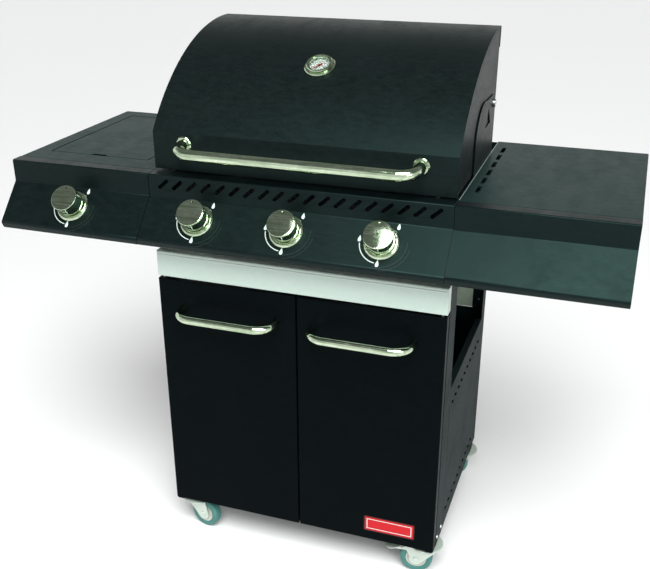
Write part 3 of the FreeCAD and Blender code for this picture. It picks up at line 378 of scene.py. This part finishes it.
def surface_frame(point, normal):
    """Millimetres to the row frame: u to the right, v up the surface, third axis outwards."""
    normal = normal.normalized()
    right = Vector((1, 0, 0))
    up = normal.cross(right)
    turn = Matrix((right, up, normal)).transposed().to_4x4()
    return Matrix.Translation(point) @ turn @ Matrix.Scale(MM, 4)


def flame(bm, centre, size, place, bottom, top):
    """Small flame symbol: a drop with its tip bent to one side."""
    outline = []
    for step in range(20):
        t = step / 20 * 2 * math.pi
        radius = size * (0.5 + 0.12 * math.cos(2 * t))
        u = radius * math.sin(t)
        v = -radius * math.cos(t)
        if v > 0:
            u *= 1 - 0.75 * (v / (0.62 * size))
            v *= 1.5
        outline.append((centre[0] + u, centre[1] + v))
    slab(bm, outline, place, bottom, top)


def upward(joint):
    """The joint's axis, turned so that it points up and out of the surface."""
    axis = Vector(joint["axis"])
    return -axis if axis.z < 0 else axis


# lengths on the marks are in millimetres, angles in degrees
PRINT_HEIGHTS = (0.02, 0.10)
KNOB_ARC = (39.4, 41.2, 187, 262)                           # inner and outer radius, start and end angle
FLAME_RADIUS = 41.5
FLAMES = ((177, 8.0), (270, 8.5), (52, 8.0))                # angle and size
FAINT_RING_LINES = ((46.6, 47.2, -98, 8), (53.6, 54.1, -86, -8))
POINTER_RADIUS = 1.8
POINTER_OUT = 20.5                                          # from the knob's axis
POINTER_HEIGHTS = (35.6, 37.4)


def knob_print(bm, place):
    """Arc and flame signs printed round a knob."""
    band(bm, *KNOB_ARC, place, *PRINT_HEIGHTS)
    for angle, size in FLAMES:
        t = math.radians(angle)
        flame(bm, (FLAME_RADIUS * math.cos(t), FLAME_RADIUS * math.sin(t)), size, place, *PRINT_HEIGHTS)


def knob_rings(bm, place):
    """Two thin lines, a little lighter than the panel, round the lower right of a bezel."""
    for ring in FAINT_RING_LINES:
        band(bm, *ring, place, *PRINT_HEIGHTS)


def pointer_dimple_shade(bm, place):
    """Dark dot at the bottom of the dimple in a knob's face: painted shade in the dimple."""
    angles = [step * math.pi / 8 for step in range(16)]
    outline = [(POINTER_RADIUS * math.cos(t), POINTER_OUT + POINTER_RADIUS * math.sin(t)) for t in angles]
    slab(bm, outline, place, *POINTER_HEIGHTS)


for body in ("side_burner_knob", "left_burner_knob", "middle_burner_knob", "right_burner_knob"):
    place = surface_frame(Vector(joint_of[body]["pos_m"]), upward(joint_of[body]))
    piece(body + "_print", "cart", "white_print", "panel_paint", knob_print, place)
    piece(body + "_pointer", body, "painted_shade_dark", "magnet_black", pointer_dimple_shade, place)
    piece(body + "_rings", "cart", "faint_ring_tone", "panel_paint", knob_rings, place)


# thermometer dial: the scale runs clockwise from DIAL_START through DIAL_SWEEP
DIAL_START = 225
DIAL_SWEEP = 270
DIAL_STEPS = 40
TICK_HEIGHTS = (0.0, 0.08)
TICK_END = 18.2
LONG_TICK = (14.6, 0.35)                                    # inner radius and half width
SHORT_TICK = (16.4, 0.16)
DIAL_LINE = (18.6, 18.9)
DIAL_NUMBERS = ("50", "100", "150", "200", "250", "300", "350", "400")
NUMBER_RADIUS = 11.6
NUMBER_LIFT = 0.004                                         # share of NUMBER_RADIUS
MARKS_LIFT = 0.4                                            # over the middle of the dial plate


def dial_marks(bm, place):
    """Ticks and the line round a thermometer's scale."""
    for step in range(DIAL_STEPS + 1):
        t = math.radians(DIAL_START - DIAL_SWEEP * step / DIAL_STEPS)
        inner, half = SHORT_TICK if step % 5 else LONG_TICK
        along = Vector((math.cos(t), math.sin(t)))
        side = Vector((-along.y, along.x)) * half
        near, far = along * inner, along * TICK_END
        slab(bm, [(c.x, c.y) for c in (near - side, far - side, far + side, near + side)], place, *TICK_HEIGHTS)
    band(bm, *DIAL_LINE, DIAL_START - DIAL_SWEEP, DIAL_START, place, *TICK_HEIGHTS)


dial_normal = upward(joint_of["needle"])
dial_low, dial_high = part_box("thermometer_dial")
dial_place = surface_frame((dial_low + dial_high) / 2 + dial_normal * MARKS_LIFT * MM, dial_normal)
piece("dial_ticks", "hood", "dial_print", "dial_face", dial_marks, dial_place)
for step, number in enumerate(DIAL_NUMBERS):
    text = bpy.data.curves.new("dial_number_" + number, "FONT")
    text.body = number
    text.size = 3.3 * MM
    text.extrude = 0.04 * MM
    text.align_x = "CENTER"
    text.align_y = "CENTER"
    text.materials.append(extra_finishes["dial_print"])
    obj = linked("dial_number_" + number, text)
    t = math.radians(DIAL_START - DIAL_SWEEP * (step + 0.5) / len(DIAL_NUMBERS))
    middle = Vector((math.cos(t), math.sin(t), NUMBER_LIFT)) * NUMBER_RADIUS * MM
    obj.matrix_world = dial_place @ Matrix.Scale(1 / MM, 4) @ Matrix.Translation(middle)
    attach(obj, "hood")


def badge(bm, place, width, height, corner, bottom, top):
    """A plate with rounded corners."""
    outline = []
    for su, sv, start in ((1, 1, 0), (-1, 1, 90), (-1, -1, 180), (1, -1, 270)):
        for step in range(7):
            t = math.radians(start + 15 * step)
            u = su * (width / 2 - corner) + corner * math.cos(t)
            v = sv * (height / 2 - corner) + corner * math.sin(t)
            outline.append((u, v))
    slab(bm, outline, place, bottom, top)


def frame_line(bm, place, width, height, line, bottom, top):
    """A thin rectangular outline."""
    w, h = width / 2, height / 2
    for u0, u1, v0, v1 in ((-w, w, h - line, h), (-w, w, -h, line - h), (-w, line - w, line - h, h - line),
                           (w - line, w, line - h, h - line)):
        slab(bm, [(u0, v0), (u1, v0), (u1, v1), (u0, v1)], place, bottom, top)


BADGE_FROM_EDGE = 96
BADGE_FROM_FOOT = 42
BADGE_RIM = (110, 38, 3.0, 0.0, 1.0)                        # width, height, corner radius, bottom, top
BADGE_PLATE = (105, 33, 2.0, 1.0, 1.4)
BADGE_LINE = (97, 25, 1.6, 1.4, 1.5)                        # width, height, line width, bottom, top

door_low, door_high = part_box("right_door")
badge_centre = Vector((door_high.x - BADGE_FROM_EDGE * MM, door_low.y, door_low.z + BADGE_FROM_FOOT * MM))
badge_place = surface_frame(badge_centre, Vector((0, -1, 0)))
piece("badge_rim", "right_door", "badge_dark", "needle_red", badge, badge_place, *BADGE_RIM)
piece("badge_plate", "right_door", "badge_red", "needle_red", badge, badge_place, *BADGE_PLATE)
piece("badge_line", "right_door", "white_print", "needle_red", frame_line, badge_place, *BADGE_LINE)


def prism(bm, outline, x0, x1, origin):
    """A (y, z) outline in millimetres from origin, extended along x from x0 to x1."""
    rings = ([bm.verts.new(origin + Vector((x, y, z)) * MM) for y, z in outline] for x in (x0, x1))
    closed(bm, *rings)


# outlines on the control panel are (y, z) in millimetres: y from a line PANEL_FRONT_Y behind the panel's
# front, z from a line PANEL_TOP_Z below its top
PANEL_FRONT_Y = 64
PANEL_TOP_Z = 842
SEAM_OUTLINE = ((1.5, 838), (1.5, 797.3), (-61.4, 729.2), (-55.6, 717.2), (-44, 717.2), (-44, 718.4),
                (-54.8, 718.4), (-59.8, 729.4), (2.5, 797), (2.5, 838))
FASCIA_EDGE = ((0.1, 840.9), (1.1, 841.9), (1.4, 841.6), (0.4, 840.6))
FASCIA_CREASE = ((-0.25, 797.2), (-0.12, 798.9), (0.5, 798.9), (0.5, 797.2))
FASCIA_ENDS = (301, 608)
SEAM_ENDS = (296, 304)
SHELF_EDGE_HEIGHTS = (-1.2, 0.12)
SHELF_EDGE_INSET = 4

# painted shade: dark strips behind the two seams of the control panel, following its bend
panel_low, panel_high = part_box("control_panel")
panel_origin = Vector((0, panel_low.y + PANEL_FRONT_Y * MM, panel_high.z - PANEL_TOP_Z * MM))
for side, name in ((-1, "left_seam"), (1, "right_seam")):
    ends = [side * x for x in SEAM_ENDS]
    piece(name, "cart", "painted_shade_dark", "panel_paint", prism, SEAM_OUTLINE, *ends, panel_origin)

# painted highlights along the folds of the right fascia, then a painted highlight along the right shelf's edge
# beside the hood with a line of painted shade next to it
shelf_low, shelf_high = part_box("right_shelf")
shelf_origin = Vector((shelf_low.x, 0, shelf_high.z))
for name, outline in (("fascia_edge", FASCIA_EDGE), ("fascia_crease", FASCIA_CREASE)):
    piece(name, "cart", "edge_glint", "panel_paint", prism, outline, *FASCIA_ENDS, panel_origin)
front, back = shelf_low.y / MM + SHELF_EDGE_INSET, shelf_high.y / MM - SHELF_EDGE_INSET
low, high = SHELF_EDGE_HEIGHTS
for name, x0, x1, finish in (("shelf_edge", 0.3, 2.1, "edge_painted_highlight"), ("shelf_joint", 2.6, 4.4, "painted_shade_dark")):
    outline = ((front, low), (back, low), (back, high), (front, high))
    piece(name, "cart", finish, "shelf_paint", prism, outline, x0, x1, shelf_origin)


# ---------------------------------------------------------------- stage, light and camera
FLOOR_REACH = 60.0                                          # metres
WALL_TINT = (0.96, 1.0, 0.985)
LAMP_TINT = (0.92, 1.0, 0.97)
# axis of the direction looked along, its low and high end, and the brightness at each
WORLD_RAMPS = (("Y", -0.6, 0.4, 0.75, 0.9), ("Z", 0.32, 0.62, 1.05, 0.22))


def stage_floor():
    """Plain pale floor."""
    reach = FLOOR_REACH
    mesh = bpy.data.meshes.new("floor")
    mesh.from_pydata([(-reach, -reach, 0), (reach, -reach, 0), (reach, reach, 0), (-reach, reach, 0)], [],
                     [(0, 1, 2, 3)])
    floor = linked("floor", mesh)
    paper = Recipe("studio_floor", Specular_IOR_Level=0.1, Roughness=0.9)
    paper.colour(paper.mixed((0.925, 0.87, 0.89), (0.935, 0.88, 0.90), paper.noise(900.0, 2.0)))
    mesh.materials.append(paper.material)


stage_floor()


def studio_world():
    """Soft surroundings: a bright low wall behind, darker overhead and towards the front."""
    world = bpy.data.worlds.new("studio")
    bpy.context.scene.world = world
    world.use_nodes = True
    tree = world.node_tree
    background = tree.nodes["Background"]
    direction = tree.nodes.new("ShaderNodeTexCoord").outputs["Generated"]
    axes = tree.nodes.new("ShaderNodeSeparateXYZ")
    tree.links.new(direction, axes.inputs[0])
    both = tree.nodes.new("ShaderNodeMath")
    both.operation = "MULTIPLY"
    for socket, (axis, low, high, first, last) in zip(both.inputs, WORLD_RAMPS):
        ramp = tree.nodes.new("ShaderNodeMapRange")
        ramp.interpolation_type = "SMOOTHSTEP"
        for name, number in (("From Min", low), ("From Max", high), ("To Min", first), ("To Max", last)):
            ramp.inputs[name].default_value = number
        tree.links.new(axes.outputs[axis], ramp.inputs["Value"])
        tree.links.new(ramp.outputs["Result"], socket)
    tree.links.new(both.outputs["Value"], background.inputs["Strength"])
    background.inputs["Color"].default_value = (*WALL_TINT, 1.0)


studio_world()


def lamp(name, kind, place, target, strength, **settings):
    """A lamp at place that shines towards target."""
    light = bpy.data.lights.new(name, kind)
    light.energy = strength
    light.color = LAMP_TINT
    for key, value in settings.items():
        setattr(light, key, value)
    obj = linked(name, light)
    obj.location = place
    obj.rotation_euler = (Vector(target) - Vector(place)).to_track_quat("-Z", "Y").to_euler()


lamp("daylight", "SUN", (0.6, -1.2, 2.6), (0.0, 0.0, 0.8), 2.5, angle=math.radians(42))
lamp("front_top", "AREA", (0.4, -1.9, 3.0), (0.1, 0.0, 0.8), 58, shape="RECTANGLE", size=1.6, size_y=1.6)
lamp("front_right", "AREA", (2.8, -2.4, 2.0), (0, 0, 0.6), 26, shape="RECTANGLE", size=1.6, size_y=1.8)

CAMERA_PLACE = (0.5778, -1.6994, 1.3486)
CAMERA_AIM = (-0.299, 0.854, -0.4256)
CAMERA_ROLL = math.radians(-0.17)

camera_data = bpy.data.cameras.new("camera")
camera_data.lens = 50.4
camera_data.sensor_width = 36.0
camera_data.shift_x = 0.005
camera_data.shift_y = 0.040
camera = linked("camera", camera_data)
camera.location = CAMERA_PLACE
aim = Vector(CAMERA_AIM).to_track_quat("-Z", "Y")
camera.rotation_euler = (aim.to_matrix() @ Matrix.Rotation(CAMERA_ROLL, 3, "Z")).to_euler()
bpy.context.scene.camera = camera
bpy.context.scene.view_settings.view_transform = "Standard"
